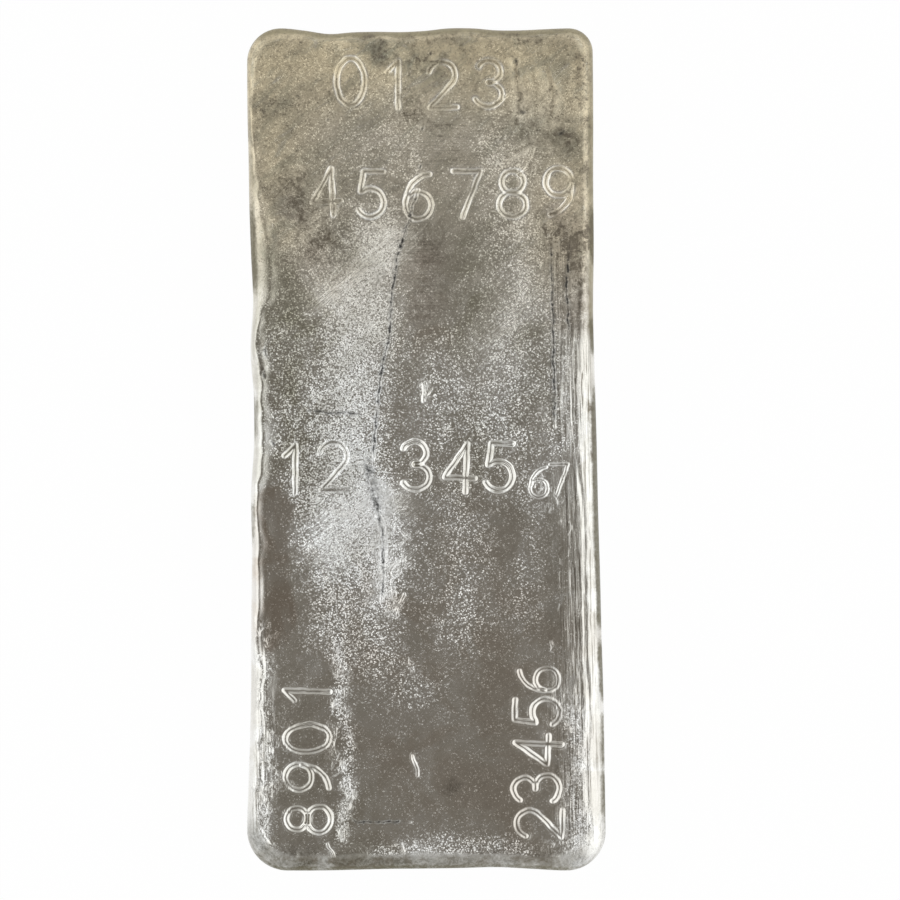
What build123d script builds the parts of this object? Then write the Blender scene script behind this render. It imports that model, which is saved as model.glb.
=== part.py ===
from build123d import *
import os
from math import cos, radians, sin, tan

# Driving sizes, in millimetres and degrees
LENGTH = 300.0
WIDE_END_WIDTH = 128.0
NARROW_END_WIDTH = 123.0
HEIGHT = 39.3
WALL_DRAFT = 10.0
BASE_EDGE_RADIUS = 3.0
WAVE_FADE_DEPTH = 14.0
SHOULDER_DROP = 6.0
TOP_SAG = 1.4

# Width in plan of the rolled shoulder along each side of the cast face
WIDE_END_SHOULDER = 5.5
RIGHT_SHOULDER = 9.0
NARROW_END_SHOULDER = 4.5
LEFT_SHOULDER = 4.0

# Plan radius of the mould at each corner
WIDE_LEFT_RADIUS = 14.5
WIDE_RIGHT_RADIUS = 14.0
NARROW_RIGHT_RADIUS = 8.5
NARROW_LEFT_RADIUS = 12.0

# Depth of the frozen rim's waves at even steps along each side, anticlockwise from the wide end
WIDE_END_WAVES = [0.0, 0.3, 0.6, 0.7, 0.9, 1.2, 0.6]
RIGHT_WAVES = [0.0, 0.0, 0.3, 0.5, 0.8, 0.9, 1.2, 1.4, 0.8, 0.6, 0.2]
NARROW_END_WAVES = [0.3, 0.7, 0.7, 0.0, 0.0, 0.9, 1.3, 1.2, 1.4, 2.0, 0.8]
LEFT_WAVES = [0.1, 0.5, 0.8, 1.4, 2.1, 1.2, 2.4, 2.4, 1.4, 1.7, 1.6, 1.4, 1.4, 1.1, 0.5]

# Angles round the shoulder, from the upright rim to the cast face
SHOULDER_ANGLES = [0.0, 20.0, 40.0, 60.0, 76.0, 90.0]

# Places where the hollow of the cast face is set, as shares of its half width and half length
HOLLOW_ACROSS = [-0.5, 0.0, 0.5]
HOLLOW_ALONG = [-0.7, -0.35, 0.0, 0.35, 0.7]

RIM_HEIGHT = HEIGHT - SHOULDER_DROP


def corner_points(insets):
    """Sharp plan corners, anticlockwise from the wide end's left, with each side set in."""
    wide, right, narrow, left = insets
    lean = (WIDE_END_WIDTH - NARROW_END_WIDTH) / LENGTH
    near_y = -LENGTH / 2 + wide
    far_y = LENGTH / 2 - narrow
    left_x = -WIDE_END_WIDTH / 2 + left
    near_x = WIDE_END_WIDTH / 2 - right - lean * wide
    far_x = WIDE_END_WIDTH / 2 - right - lean * (LENGTH - narrow)
    return [Vector(left_x, near_y), Vector(near_x, near_y), Vector(far_x, far_y), Vector(left_x, far_y)]


def outline(height, insets, wave):
    """Closed plan outline at a height: four corner arcs joined by waved sides."""
    corners = corner_points(insets)
    radii = [WIDE_LEFT_RADIUS, WIDE_RIGHT_RADIUS, NARROW_RIGHT_RADIUS, NARROW_LEFT_RADIUS]
    waves = [WIDE_END_WAVES, RIGHT_WAVES, NARROW_END_WAVES, LEFT_WAVES]
    starts, middles, ends = [], [], []
    for i, corner in enumerate(corners):
        back = (corners[i - 1] - corner).normalized()
        ahead = (corners[(i + 1) % 4] - corner).normalized()
        half_angle = radians(back.get_angle(ahead) / 2)
        starts.append(corner + back * (radii[i] / tan(half_angle)))
        middles.append(corner + (back + ahead).normalized() * (radii[i] / sin(half_angle) - radii[i]))
        ends.append(corner + ahead * (radii[i] / tan(half_angle)))
    edges = []
    for i in range(4):
        run = starts[(i + 1) % 4] - ends[i]
        inward = run.normalized().rotate(Axis.Z, 90)
        depths = [0.0, *waves[i], 0.0]
        shares = [step / (len(depths) - 1) for step in range(len(depths))]
        points = [ends[i] + run * share + inward * (depth * wave) for share, depth in zip(shares, depths)]
        edges.append(Edge.make_three_point_arc(starts[i], middles[i], ends[i]))
        edges.append(Edge.make_spline(points, tangents=[run, run], parameters=shares, scale=False))
    return Wire(edges).moved(Pos(0, 0, height))


def wall_section(height):
    """Straight-sided outline of the mould wall at a height, set in by the wall's draft."""
    inset = (RIM_HEIGHT - height) * tan(radians(WALL_DRAFT))
    return outline(height, [inset] * 4, 0.0)


def shoulder_section(angle):
    """Waved outline at one angle round the shoulder, which is a quarter of an ellipse."""
    turn = radians(angle)
    widths = [WIDE_END_SHOULDER, RIGHT_SHOULDER, NARROW_END_SHOULDER, LEFT_SHOULDER]
    insets = [width * (1 - cos(turn)) for width in widths]
    return outline(RIM_HEIGHT + SHOULDER_DROP * sin(turn), insets, 1.0)


def cast_face(edge):
    """Open-mould face: a shallow hollow hung inside the inner outline of the shoulder."""
    box = edge.bounding_box()
    middle = box.center()
    points = []
    for across in HOLLOW_ACROSS:
        for along in HOLLOW_ALONG:
            sag = TOP_SAG * (1 - across**2) * (1 - along**4)
            points.append(middle + Vector(across * box.size.X / 2, along * box.size.Y / 2, -sag))
    return Face.make_surface(edge, points)


base = wall_section(0.0)
fade = wall_section(RIM_HEIGHT - WAVE_FADE_DEPTH)
shoulder = [shoulder_section(angle) for angle in SHOULDER_ANGLES]
wall = Shell.make_loft([base, fade], ruled=True)
lip = Shell.make_loft([fade, shoulder[0]], ruled=True)
rolled = Shell.make_loft(shoulder)
faces = [Face(base), *wall.faces(), *lip.faces(), *rolled.faces(), cast_face(shoulder[-1])]
bar = Solid(Shell(faces))
bar = fillet(bar.edges().group_by(Axis.Z)[0], BASE_EDGE_RADIUS)

box = bar.bounding_box()
bar = Pos(-box.center().X, -box.center().Y, -box.min.Z) * bar

os.makedirs("parts", exist_ok=True)
export_step(bar, "parts/silver_bar.step")
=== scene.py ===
"""Cast silver bar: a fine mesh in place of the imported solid, its finish, and a plain studio."""
import logging
import math
import random
from dataclasses import dataclass, field
from enum import Enum
from typing import Iterable, Sequence, Union

import bmesh
import bpy
import numpy as np
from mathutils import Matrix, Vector, noise


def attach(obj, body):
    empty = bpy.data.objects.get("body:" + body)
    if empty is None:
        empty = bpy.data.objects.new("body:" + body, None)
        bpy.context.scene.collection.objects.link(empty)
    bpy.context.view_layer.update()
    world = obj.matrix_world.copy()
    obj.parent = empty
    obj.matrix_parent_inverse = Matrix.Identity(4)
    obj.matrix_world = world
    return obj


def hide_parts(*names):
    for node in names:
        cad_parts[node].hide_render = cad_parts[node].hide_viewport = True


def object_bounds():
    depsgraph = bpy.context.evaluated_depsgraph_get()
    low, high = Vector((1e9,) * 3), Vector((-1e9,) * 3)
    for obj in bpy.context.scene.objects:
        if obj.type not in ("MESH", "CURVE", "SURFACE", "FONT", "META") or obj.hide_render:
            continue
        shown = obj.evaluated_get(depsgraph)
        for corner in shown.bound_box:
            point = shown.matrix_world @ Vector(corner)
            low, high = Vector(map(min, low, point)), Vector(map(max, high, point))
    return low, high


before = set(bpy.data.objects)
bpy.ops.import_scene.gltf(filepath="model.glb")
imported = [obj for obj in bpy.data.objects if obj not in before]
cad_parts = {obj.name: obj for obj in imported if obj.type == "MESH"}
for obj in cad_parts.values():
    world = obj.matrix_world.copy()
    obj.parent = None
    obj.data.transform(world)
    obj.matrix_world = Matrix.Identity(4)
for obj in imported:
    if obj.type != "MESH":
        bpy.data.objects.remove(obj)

CAD_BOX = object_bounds()
MM = 0.001
LOG = logging.getLogger("silver_bar")

Array = np.ndarray
Weights = dict[str, Array]
Operand = Union["Value", float]
Pair = tuple[float, float]
Path = tuple[Pair, ...]
Triple = tuple[float, float, float]
Colour = tuple[float, float, float, float]
Socket = bpy.types.NodeSocket


class Side(Enum):
    """Sides of the bar's plan, anticlockwise seen from above."""

    WIDE_END = 0
    RIGHT = 1
    NARROW_END = 2
    LEFT = 3


class Reading(Enum):
    """Direction in which a row of punched figures reads, as its turn in degrees."""

    ACROSS = 0.0
    UPWARD = 90.0


def smooth_step(low: float, high: float, value: Array) -> Array:
    """Eased ramp from 0 at the low value to 1 at the high one."""
    t = np.clip((value - low) / (high - low), 0.0, 1.0)
    return t * t * (3.0 - 2.0 * t)


def curve_through(values: Sequence[float], share: Array) -> Array:
    """Smooth curve through evenly spaced values, flat and zero at both ends.

    Args:
        values: Heights of the curve at even steps between its ends.
        share: Places along the curve, from 0 to 1.

    Returns:
        The curve's heights at those places.
    """
    heights = np.array([0.0, *values, 0.0])
    slopes = np.gradient(heights)
    slopes[[0, -1]] = 0.0
    place = np.clip(share, 0.0, 1.0) * (len(heights) - 1)
    first = np.minimum(place.astype(int), len(heights) - 2)
    f = place - first
    return (
        heights[first] * (1 + 2 * f) * (1 - f) ** 2
        + heights[first + 1] * f * f * (3 - 2 * f)
        + slopes[first] * f * (1 - f) ** 2
        + slopes[first + 1] * f * f * (f - 1)
    )


def ripple(points: Array, scale: Triple, seat: float) -> Array:
    """Smooth noise at points, by its waves per millimetre and a shift that gives a pattern of its own."""
    spots = points * np.array(scale) + seat
    return np.array([noise.noise(spot) for spot in spots.tolist()])


def distance_to_path(points: Array, path: Path) -> Array:
    """Distance in plan from points to an open path.

    Args:
        points: Points in plan, one a row.
        path: Corners of the path.

    Returns:
        The distance of each point to the nearest stretch of the path.
    """
    nearest = np.full(len(points), np.inf)
    corners = np.array(path, dtype=float)
    for start, end in zip(corners[:-1], corners[1:]):
        run = end - start
        share = np.clip(((points - start) @ run) / max(run @ run, 1e-9), 0.0, 1.0)
        gap = points - start - share[:, None] * run
        nearest = np.minimum(nearest, np.hypot(gap[:, 0], gap[:, 1]))
    return nearest


def placed(name: str, data: bpy.types.ID) -> bpy.types.Object:
    """Adds one object to the scene.

    Args:
        name: The object's name.
        data: Its mesh, light or camera.

    Returns:
        The object, at the origin.
    """
    made = bpy.data.objects.new(name, data)
    bpy.context.collection.objects.link(made)
    return made


@dataclass(frozen=True)
class Ring:
    """One level round the bar: its height, how far each side is set in, and its waves."""

    height: float
    insets: tuple[Pair, ...]
    wave: float
    swell: float = 0.0


@dataclass(frozen=True)
class Mould:
    """Shape of the bar as the mould and the freezing metal leave it, in millimetres."""

    length: float = 300.0
    wide_width: float = 128.0
    narrow_width: float = 123.0
    height: float = 39.3
    draft: float = math.radians(10.0)
    base_edge: float = 3.0
    fade_depth: float = 14.0
    shoulder_drop: float = 6.0
    top_sag: float = 1.4
    middle: float = 0.11
    shoulders: tuple[Pair, ...] = ((6.0, 5.5), (10.0, 4.5), (4.0, 5.0), (3.5, 4.0))
    radii: tuple[float, ...] = (14.5, 14.0, 8.5, 12.0)
    waves: tuple[tuple[float, ...], ...] = (
        (0.0, 0.3, 0.6, 0.7, 0.9, 1.2, 0.6),
        (0.0, 0.0, 0.3, 0.5, 0.8, 0.9, 1.2, 1.4, 0.8, 0.6, 0.2),
        (0.3, 0.7, 0.7, 0.0, 0.0, 0.9, 1.3, 1.2, 1.4, 2.0, 0.8),
        (0.1, 0.5, 0.8, 1.4, 2.1, 1.2, 2.4, 2.4, 1.4, 1.7, 1.6, 1.4, 1.4, 1.1, 0.5),
    )
    swells: tuple[tuple[float, ...], ...] = (
        (0.0, 0.6, 0.0, 1.2, 0.4, -0.4, 0.5),
        (1.5, 0.3, -0.6, 0.0, 0.6, 1.0, 1.6, -1.0, -1.2, -1.6, -0.8),
        (0.3, -0.4, 0.2, 0.5, 0.0, -0.4, 0.3, 0.0, 0.5, -0.3, 0.0),
        (-1.4, -1.5, -1.5, -1.3, -0.6, 0.4, 1.6, 2.8, 2.2, 0.2, -1.8, -1.6, -0.4, -1.6, -0.4, -0.3,
         -0.8, -1.8, -2.2, -1.0, -1.4, -1.2, -1.5, -1.8, -0.6, 0.2, 0.3, 0.0, 0.3, 0.4, 0.2),
    )

    @property
    def rim(self) -> float:
        """Height of the rim, where the plan is widest."""
        return self.height - self.shoulder_drop

    def corners(self, insets: tuple[Pair, ...]) -> Array:
        """Sharp corners of the plan, anticlockwise from the wide end's left.

        Args:
            insets: How far each side is set in at its start and at its end.

        Returns:
            The four corners, one a row.
        """
        wide, right, narrow, left = insets
        half = self.wide_width / 2
        lean = self.wide_width - self.narrow_width
        return np.array([
            (self.middle - half + left[1], -self.length / 2 + wide[0]),
            (self.middle + half - right[0], -self.length / 2 + wide[1]),
            (self.middle + half - lean - right[1], self.length / 2 - narrow[0]),
            (self.middle - half + left[0], self.length / 2 - narrow[1]),
        ])

    def edge(self, side: Side, share: Array, ring: Ring) -> Array:
        """Points along one side of a ring, from the middle of one corner arc to the next.

        Args:
            side: The side to follow.
            share: Places along the side, from 0 to 1.
            ring: The level to follow it on.

        Returns:
            Points in plan, one a row.
        """
        corners = self.corners(ring.insets)
        i = side.value
        arcs = []
        for k in (i, (i + 1) % 4):
            back = corners[k - 1] - corners[k]
            ahead = corners[(k + 1) % 4] - corners[k]
            back = back / np.hypot(*back)
            ahead = ahead / np.hypot(*ahead)
            half_angle = math.acos(float(np.clip(back @ ahead, -1.0, 1.0))) / 2
            bisector = (back + ahead) / np.hypot(*(back + ahead))
            centre = corners[k] + bisector * self.radii[k] / math.sin(half_angle)
            along = ahead if k == i else back
            foot = corners[k] + along * self.radii[k] / math.tan(half_angle)
            arcs.append((centre, -bisector * self.radii[k], math.pi / 2 - half_angle, self.radii[k], foot))
        (first, spoke_a, turn_a, radius_a, start), (last, spoke_b, turn_b, radius_b, end) = arcs
        run = end - start
        reach = np.hypot(*run)
        lengths = np.array([turn_a * radius_a, reach, turn_b * radius_b])
        travel = share * lengths.sum()
        straight = np.clip((travel - lengths[0]) / reach, 0.0, 1.0)
        depth = curve_through(self.waves[i], straight) * ring.wave
        depth = depth + curve_through(self.swells[i], straight) * ring.swell
        inward = np.array((-run[1], run[0])) / reach
        points = start + straight[:, None] * run + depth[:, None] * inward
        for centre, spoke, angle, chosen in (
            (first, spoke_a, travel / radius_a, travel < lengths[0]),
            (last, spoke_b, (travel - lengths.sum()) / radius_b, travel > lengths[0] + lengths[1]),
        ):
            turned = np.stack([
                spoke[0] * np.cos(angle) - spoke[1] * np.sin(angle),
                spoke[0] * np.sin(angle) + spoke[1] * np.cos(angle),
            ], axis=1)
            points[chosen] = (centre + turned)[chosen]
        return points

    def around(self, s: Array, t: Array, ring: Ring) -> Array:
        """Points of a ring for places on the border of a square from -1 to 1.

        Args:
            s: Places across the square.
            t: Places along the square.
            ring: The level to follow.

        Returns:
            Points in plan, one a row.
        """
        points = np.zeros((len(s), 2))
        for side, chosen, share in (
            (Side.LEFT, s <= -1 + 1e-6, (1 - t) / 2),
            (Side.RIGHT, s >= 1 - 1e-6, (t + 1) / 2),
            (Side.WIDE_END, t <= -1 + 1e-6, (s + 1) / 2),
            (Side.NARROW_END, t >= 1 - 1e-6, (1 - s) / 2),
        ):
            points[chosen] = self.edge(side, share[chosen], ring)
        return points

    def inside(self, s: Array, t: Array, ring: Ring) -> Array:
        """Points spread evenly inside a ring for places in a square from -1 to 1.

        Args:
            s: Places across the square.
            t: Places along the square.
            ring: The level whose border they keep to.

        Returns:
            Points in plan, one a row.
        """
        u, v = ((s + 1) / 2)[:, None], ((t + 1) / 2)[:, None]
        near = self.edge(Side.WIDE_END, u[:, 0], ring)
        far = self.edge(Side.NARROW_END, 1 - u[:, 0], ring)
        right = self.edge(Side.RIGHT, v[:, 0], ring)
        left = self.edge(Side.LEFT, 1 - v[:, 0], ring)
        ends = np.array([0.0, 1.0])
        low = self.edge(Side.WIDE_END, ends, ring)
        high = self.edge(Side.NARROW_END, ends, ring)
        sheet = (1 - v) * near + v * far + (1 - u) * left + u * right
        sheet -= (1 - u) * (1 - v) * low[0] + u * (1 - v) * low[1]
        return sheet - (u * v * high[0] + (1 - u) * v * high[1])

    def shoulder_ring(self, turn: float) -> Ring:
        """Ring at an angle round the shoulder, from the rim at 0 to the cast face at a right angle."""
        share = 1 - math.cos(turn)
        insets = tuple((start * share, end * share) for start, end in self.shoulders)
        return Ring(self.rim + self.shoulder_drop * math.sin(turn), insets, 1.0, share)

    def wall_ring(self, height: float, inset: float, wave: float) -> Ring:
        """Ring of the mould wall, set in alike on every side."""
        return Ring(height, ((inset, inset),) * 4, wave)

    def rings_down(self) -> list[Ring]:
        """Rings from just below the cast face down to the flat base.

        Returns:
            The rings in order, the last one round the base.
        """
        slope = math.tan(self.draft)
        rings = [self.shoulder_ring(math.radians(angle)) for angle in (80, 70, 60, 50, 40, 30, 20, 10, 0)]
        for share in (0.12, 0.25, 0.4, 0.55, 0.7, 0.85, 1.0):
            drop = self.fade_depth * share
            rings.append(self.wall_ring(self.rim - drop, drop * slope, 1.0 - share))
        foot = self.base_edge * math.tan(math.pi / 4 - self.draft / 2)
        corner = self.rim * slope + foot
        top = self.rim - self.fade_depth
        low = self.base_edge * (1 - math.sin(self.draft))
        for share in (0.2, 0.4, 0.6, 0.8):
            height = top + (low - top) * share
            rings.append(self.wall_ring(height, (self.rim - height) * slope, 0.0))
        for angle in (10, 30, 50, 70, 90):
            turn = math.radians(angle)
            height = self.base_edge * (1 - math.sin(turn))
            rings.append(self.wall_ring(height, corner - self.base_edge * math.cos(turn), 0.0))
        return rings


@dataclass(frozen=True)
class Groove:
    """Groove pressed or split into the cast face along a path, in millimetres."""

    path: Path
    half_width: float
    depth: float
    lip: float = 0.0
    # Darkness of the painted shade inside a split.
    black: float = 0.0

    def taper(self, plan: Array, run_out: float) -> Array:
        """Share of the groove's depth at points in plan, which runs out towards both ends."""
        ends = np.array((self.path[0], self.path[-1]))
        gap = np.linalg.norm(plan[:, None, :] - ends[None], axis=2).min(axis=1)
        return smooth_step(0.0, run_out, gap)

    def lift(self, gap: Array) -> Array:
        """Height change at distances from the groove's middle."""
        floor = 1.0 - smooth_step(0.1 * self.half_width, self.half_width, gap)
        crest = np.exp(-(((gap - 1.25 * self.half_width) / (0.32 * self.half_width)) ** 2))
        return self.lip * crest - self.depth * floor

    def punched(self, plan: Array) -> tuple[Array, Array]:
        """Works out what the groove does to points in plan where it is punched.

        Args:
            plan: The points, one a row.

        Returns:
            Height change at each point, and how far the groove's edge is lighter there, partly worn bright
            and partly a painted highlight.
        """
        spots = np.array(self.path)
        margin = 3.0 * self.half_width
        close = ((plan > spots.min(0) - margin) & (plan < spots.max(0) + margin)).all(axis=1)
        change, edge_wear_and_highlight = np.zeros((2, len(plan)))
        gap = distance_to_path(plan[close], self.path)
        change[close] = self.lift(gap)
        edge_wear_and_highlight[close] = np.exp(-(((gap - self.half_width) / (0.45 * self.half_width)) ** 2))
        return change, edge_wear_and_highlight

    def shade(self, gap: Array, reach: float) -> Array:
        """Painted shade inside the groove at distances from its middle, for a reach in half widths."""
        return np.exp(-((gap / (reach * self.half_width)) ** 2))


@dataclass(frozen=True)
class Brush:
    """Soft-edged stroke over the cast face along a path, in millimetres."""

    path: Path
    reach: float
    amount: float = 1.0
    crisp: bool = False

    def weight(self, points: Array) -> Array:
        """Amount of the stroke at points in plan."""
        share = distance_to_path(points, self.path) / self.reach
        if self.crisp:
            return self.amount * (1.0 - smooth_step(0.7, 1.0, share))
        return self.amount * np.exp(-((share / 0.6) ** 2))


def strokes(*rows: tuple | Brush) -> tuple[Brush, ...]:
    """Strokes from rows that hold a reach, an amount and the path's corners, or a stroke that is ready."""
    return tuple(row if isinstance(row, Brush) else Brush(row[2:], *row[:2]) for row in rows)


def arc(x: float, y: float, rx: float, ry: float, start: float, end: float) -> Path:
    """Oval arc as a path.

    Args:
        x: Middle across.
        y: Middle upwards.
        rx: Half width.
        ry: Half height.
        start: First angle in degrees.
        end: Last angle in degrees.

    Returns:
        Points along the arc.
    """
    steps = max(6, int(abs(end - start) / 15))
    turns = np.radians(np.linspace(start, end, steps + 1))
    return tuple((x + rx * math.cos(a), y + ry * math.sin(a)) for a in turns)


FIGURES: dict[str, tuple[Path, ...]] = {
    "0": (arc(0.32, 0.50, 0.29, 0.48, 90, 450),),
    "1": (((0.14, 0.76), (0.36, 0.97), (0.36, 0.02)),),
    "2": (arc(0.32, 0.70, 0.27, 0.27, 165, -35) + ((0.06, 0.03), (0.62, 0.03)),),
    "3": (arc(0.31, 0.74, 0.24, 0.23, 155, -90), arc(0.31, 0.27, 0.28, 0.25, 90, -155)),
    "4": (((0.46, 0.02), (0.46, 0.97), (0.04, 0.30), (0.63, 0.30)),),
    "5": (((0.56, 0.96), (0.15, 0.96), (0.10, 0.53)) + arc(0.31, 0.32, 0.28, 0.29, 130, -150),),
    "6": (arc(0.32, 0.30, 0.27, 0.28, 90, 450), arc(0.60, 0.34, 0.55, 0.62, 178, 98)),
    "7": (((0.05, 0.96), (0.60, 0.96), (0.24, 0.02)),),
    "8": (arc(0.32, 0.74, 0.23, 0.22, 90, 450), arc(0.32, 0.27, 0.28, 0.25, 90, 450)),
    "9": (arc(0.32, 0.69, 0.27, 0.28, 90, 450), arc(0.04, 0.65, 0.55, 0.62, -2, -82)),
}


@dataclass(frozen=True)
class FigureRow:
    """Row of plain counting figures punched one by one, in millimetres."""

    figures: str
    x: float
    y: float
    size: float
    pitch: float
    reading: Reading
    depth: float = 0.55
    stroke: float = 0.06
    lip: float = 0.18
    sway: float = 3.0
    slip: Pair = (0.6, 0.7)
    force: Pair = (0.75, 1.1)

    def grooves(self, hand: random.Random) -> list[Groove]:
        """Grooves of every figure, each a little off its place as punched by hand.

        Args:
            hand: Source of the small errors.

        Returns:
            One groove for each stroke.
        """
        grooves = []
        for place, figure in enumerate(self.figures):
            tilt = math.radians(self.reading.value + hand.uniform(-self.sway, self.sway))
            shift = [hand.uniform(-slip, slip) for slip in self.slip]
            depth = self.depth * hand.uniform(*self.force)
            if figure == " ":
                continue
            turn = math.radians(self.reading.value)
            ox = self.x + place * self.pitch * math.cos(turn) + shift[0]
            oy = self.y + place * self.pitch * math.sin(turn) + shift[1]
            for stroke in FIGURES[figure]:
                path = tuple(
                    (
                        ox + self.size * (px * math.cos(tilt) - py * math.sin(tilt)),
                        oy + self.size * (px * math.sin(tilt) + py * math.cos(tilt)),
                    )
                    for px, py in stroke
                )
                grooves.append(Groove(path, self.stroke * self.size, depth, self.lip * depth))
        return grooves


@dataclass
class CastBar:
    """The bar: its mesh, and the marks of its relief and rim in millimetres."""

    mould: Mould = field(default_factory=Mould)
    across: int = 96
    along: int = 240
    seed: int = 11
    half_face: float = 58.0
    refined: Pair = (2.2, 1.7)
    face_tilt: float = 0.9
    rows: tuple[FigureRow, ...] = (
        FigureRow("0123", -32.6, 121.5, 17.3, 16.2, Reading.ACROSS),
        FigureRow("456789", -41.5, 82.4, 17.3, 16.6, Reading.ACROSS),
        FigureRow("12 345", -53, -15.5, 18, 14.6, Reading.ACROSS, 0.65),
        FigureRow("67", 36.5, -16.5, 11.5, 7.6, Reading.ACROSS, 0.4),
        FigureRow("8901", -34, -136.5, 16.8, 14.6, Reading.UPWARD),
        FigureRow("2345", 48, -138.5, 17.3, 13, Reading.UPWARD),
        FigureRow("6", 47, -86, 15, 13, Reading.UPWARD, 0.45),
    )
    splits: tuple[Groove, ...] = (
        Groove(((-3, 92.4), (-4.8, 87), (-6.9, 79.5), (-10.1, 69.6), (-11.6, 60), (-12.6, 50.4),
                (-13.3, 39.7), (-14.4, 35.1), (-15.8, 29), (-16.9, 20.8), (-17.3, 14.8), (-18.3, 6.2),
                (-19, -4)), 0.7, 0.4, 0, 1),
        Groove(((-20.5, -9.4), (-18.7, -15.8), (-16.9, -23.3), (-15.5, -30.1), (-15.5, -37.2),
                (-15.1, -44.3), (-15.8, -54)), 0.6, 0.4, 0, 0.8),
        Groove(((-21, -2), (-20, -9.4), (-18.4, -15.8), (-17, -24)), 1.5, 0.3, 0, 0.9),
        Groove(((-44.3, 14.1), (-32.9, 13), (-27.2, 13.3), (-21.2, 11.9)), 0.45, 0.2, 0, 0.8),
        Groove(((-28.3, -130.4), (-24.4, -132.6), (-9.8, -132.2), (-5.5, -132.6)), 0.5, 0.25, 0, 0.9),
        Groove(((44.2, 74), (44.6, 58), (45.2, 38), (45.6, 8)), 0.75, 0.25, 0, 1),
        Groove(((51, 74), (49.8, 58), (50.6, 40)), 0.7, 0.25, 0, 1),
    )
    pits: tuple[Groove, ...] = (
        Groove(((31.9, 137.9), (32.3, 138.1)), 1.1, 0.3, 0.05),
        Groove(((33.6, 120.1), (34.6, 119.6)), 1, 0.3, 0.08),
        Groove(((-1.4, 114.1), (-1, 114.4)), 0.9, 0.3, 0.05),
        Groove(((1.2, 140.8), (1.6, 140.7)), 0.8, 0.25),
        Groove(((-2.3, 100.2), (-2.2, 100.6)), 0.8, 0.25),
        Groove(((-50, 139.7), (-49.6, 139.5)), 0.9, 0.25),
        Groove(((-45.7, 125.8), (-45.4, 125.6)), 0.7, 0.2),
        Groove(((-35.1, 116.9), (-34.8, 117.2)), 0.8, 0.25),
        Groove(((48.9, 113), (47.5, 111.9)), 0.8, 0.25),
        Groove(((-57.8, 35.2), (-57.4, 33.8)), 1, 0.3),
        Groove(((-58.2, 27.6), (-57.8, 26)), 1, 0.3),
        Groove(((-55, 2.6), (-54.4, 1.8)), 0.8, 0.25),
    )
    gouges: tuple[Groove, ...] = (
        Groove(((-1.2, 23.7), (-0.9, 18)), 0.8, 0.3, 0.15),
        Groove(((-9.8, -39.7), (-13.3, -43.2), (-13, -52.9)), 0.7, 0.25, 0.15),
        Groove(((-7.3, -51.4), (-11.6, -56.8)), 0.7, 0.25, 0.15),
        Groove(((-8.7, -29.4), (-5.9, -31.9)), 0.6, 0.25, 0.12),
        Groove(((-4.8, -109.1), (-3, -115.8)), 0.8, 0.35, 0.15),
        Groove(((-9.1, -139.7), (-7.7, -143.2)), 0.6, 0.25, 0.1),
        Groove(((-35.1, -140.4), (-32.2, -145.7)), 0.6, 0.25, 0.1),
        Groove(((51.1, -24), (50, -37.5)), 0.3, 0.14, 0),
        Groove(((47.2, -34.7), (46.8, -57.1)), 0.28, 0.12, 0),
        Groove(((44, -67.8), (44.3, -71.7)), 0.4, 0.2, 0.05),
        Groove(((37.9, 106.6), (33.3, 97.7)), 0.7, 0.25, 0.12),
        Groove(((24.4, 123.3), (30.4, 126.9)), 0.5, 0.2, 0.08),
    )
    laps: tuple[Groove, ...] = (
        Groove(((-20.5, -9.4), (-18.7, -15.8), (-16.6, -23.3), (-15.3, -30.1), (-15.2, -37.2),
                (-14.9, -44.3), (-15.6, -54)), 1.7, 0.4, 0.1),
        Groove(((51.4, 40), (52.2, 20), (53.4, 2), (55.6, -18), (56.2, -40), (57, -70),
                (57.4, -100), (57, -135)), 0.9, 0.32, 0.1),
        Groove(((58.4, -8), (59.3, -40), (60.2, -80), (60.3, -125)), 0.7, 0.2, 0.06),
        Groove(((50.4, -35), (51.6, -70), (52, -98)), 0.5, 0.18, 0.06),
        Groove(((53.4, -58), (54.6, -98)), 0.55, 0.2, 0.06),
        Groove(((55, -70), (55.6, -92)), 0.5, 0.18, 0.05),
        Groove(((47.3, 36), (48.4, 15), (48.6, -3)), 0.5, 0.16, 0.05),
        Groove(((51, 35), (51.2, 2)), 0.45, 0.15, 0.05),
        Groove(((-57, -66), (-57.6, -100), (-57.2, -135)), 0.8, 0.28, 0.1),
        Groove(((-54.4, -78), (-54, -130)), 0.5, 0.16, 0.05),
    )
    # Soot along the rim, partly a painted dark reflection of the steep rim.
    rim_soot_and_reflection: tuple[Brush, ...] = strokes(
        (20, 0.75, (-62.5, 80), (-62, 66)), (12, 0.6, (-61.5, 14), (-61.5, 8)),
        (12, 0.6, (-62, -24), (-62, -30)), (14, 0.8, (60.5, 80), (60.5, 72)),
        (10, 0.7, (60.5, 44), (60.5, 38)), (14, 1, (60.5, 14), (61, -20), (61.5, -56)),
        (12, 0.9, (62, -74), (62.5, -84)), (8, 0.6, (62.5, -96), (62, -138), (54, -148)),
        (8, 0.65, (-58, -141), (-52, -148), (52, -148.5)),
    )
    rim_dull: tuple[Brush, ...] = strokes(
        (12, 0.9, (-56, 149), (58, 148)), (11, 0.7, (60, 145), (60, 44)), (12, 0.4, (-62, 145), (-62, 96)),
    )
    # Grime along the wide end's rim, partly painted shade over its shoulder.
    rim_grime_and_shade: tuple[Brush, ...] = strokes(
        (12, 0.95, (-59, -138), (-52, -147), (30, -148)), (9, 0.6, (30, -148), (54, -147)),
    )
    trough: tuple[Triple, ...] = (
        (-150, 0, 3), (-135, 0.35, 2.6), (-90, 0.4, 2.6), (-66, 0.3, 2.6), (-45, 0.25, 2.6),
        (-18, 0.1, 2.6), (-8, 0.2, 4), (8, 0.2, 4.5), (18, 0.15, 3.5), (29, 0.25, 4.5),
        (42, 0.1, 3), (54, 0.5, 6), (78, 0.55, 6.5), (98, 0.15, 3.5), (120, 0, 3.5), (150, 0, 3.5),
    )
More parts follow.
